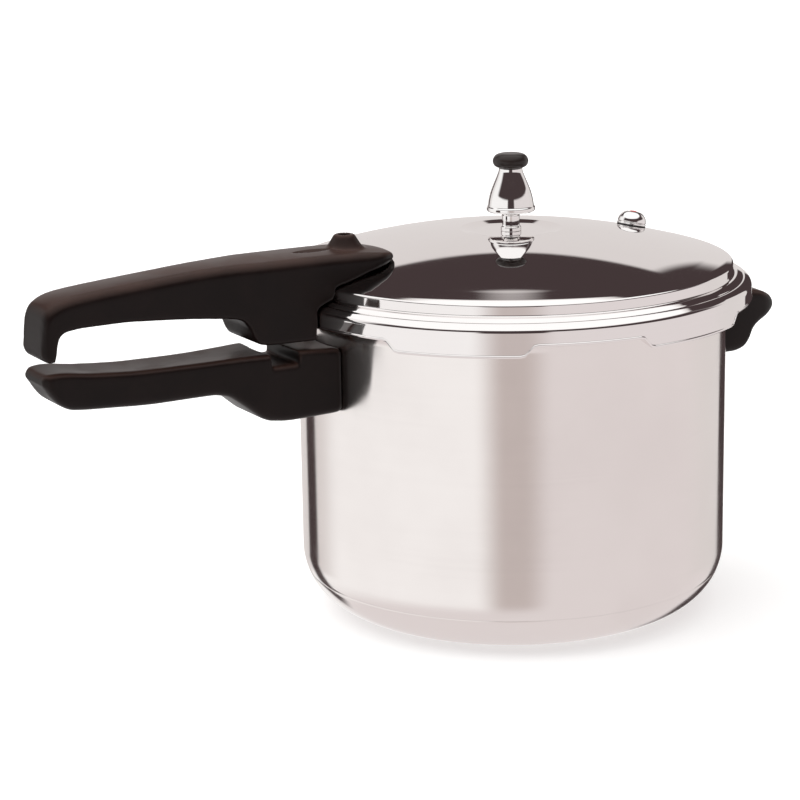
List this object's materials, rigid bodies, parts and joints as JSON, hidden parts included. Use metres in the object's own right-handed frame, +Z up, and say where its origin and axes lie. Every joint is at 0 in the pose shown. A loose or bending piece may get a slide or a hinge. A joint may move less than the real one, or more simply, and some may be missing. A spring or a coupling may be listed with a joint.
{
  "type": "pressure canner",
  "caption": "Polished aluminium pressure canner: round pot, domed locking lid with weighted regulator and relief valve, two long dark handles and a short helper handle.",
  "frame": {"origin": "middle of the pot's flat underside, on the table", "axes": "+Z up along the pot's axis, -X along the long handles, +X towards the helper handle"},
  "size_m": [0.4565, 0.2688, 0.2555],
  "materials": {
    "pot_metal": "polished, fine turned lines",
    "lid_metal": "mirror polished",
    "rack_metal": "satin",
    "handle_dark": "satin moulded, very dark brown",
    "knob_black": "satin moulded",
    "seal_rubber": "matt",
    "button_red": "gloss",
    "weight_metal": "bright turned",
    "vent_metal": "bright",
    "valve_metal": "bright",
    "pin_metal": "satin",
    "steel": "satin"
  },
  "bodies": {
    "pot": {"pot_body": "pot_metal", "body_handle": "handle_dark", "body_handle_bracket": "steel", "body_handle_screw": "steel", "helper_handle": "handle_dark", "helper_handle_bracket": "steel", "helper_handle_screw": "steel"},
    "seal": {"sealing_ring": "seal_rubber"},
    "lid": {"lid": "lid_metal", "lid_handle": "handle_dark", "lid_handle_bracket": "steel", "lid_handle_screw": "steel", "nose_screw": "steel", "nose_washer": "seal_rubber", "vent_pipe": "vent_metal", "vent_pipe_washer": "seal_rubber", "vent_pipe_nut": "steel", "lock_pin_grommet": "seal_rubber", "valve_washer": "seal_rubber", "valve_body": "valve_metal", "valve_cap": "valve_metal", "valve_nut": "steel", "valve_spring": "steel"},
    "regulator": {"regulator_weight": "weight_metal", "regulator_knob": "knob_black", "regulator_stud": "steel"},
    "lock_pin": {"lock_pin": "pin_metal"},
    "valve_button": {"valve_button": "button_red"},
    "rack": {"cooking_rack": "rack_metal"}
  },
  "joints": [
    {"name": "lid_lift", "type": "slide", "parent": "pot", "child": "seal", "axis": [0, 0, 1], "range_m": [0, 0.12]},
    {"name": "lid_turn", "type": "hinge", "parent": "seal", "child": "lid", "pos_m": [0, 0, 0.19], "axis": [0, 0, 1], "range_deg": [0, 30]},
    {"name": "regulator_lift", "type": "slide", "parent": "lid", "child": "regulator", "axis": [0, 0, 1], "range_m": [0, 0.045]},
    {"name": "lock_pin_rise", "type": "slide", "parent": "lid", "child": "lock_pin", "axis": [0, 0, 1], "range_m": [0, 0.0045]},
    {"name": "valve_button_rise", "type": "slide", "parent": "lid", "child": "valve_button", "axis": [0.2169, 0.0228, 0.9759], "range_m": [0, 0.002], "stiffness_N_per_m": 400},
    {"name": "rack_lift", "type": "slide", "parent": "pot", "child": "rack", "axis": [0, 0, 1], "range_m": [0, 0.12]}
  ]
}
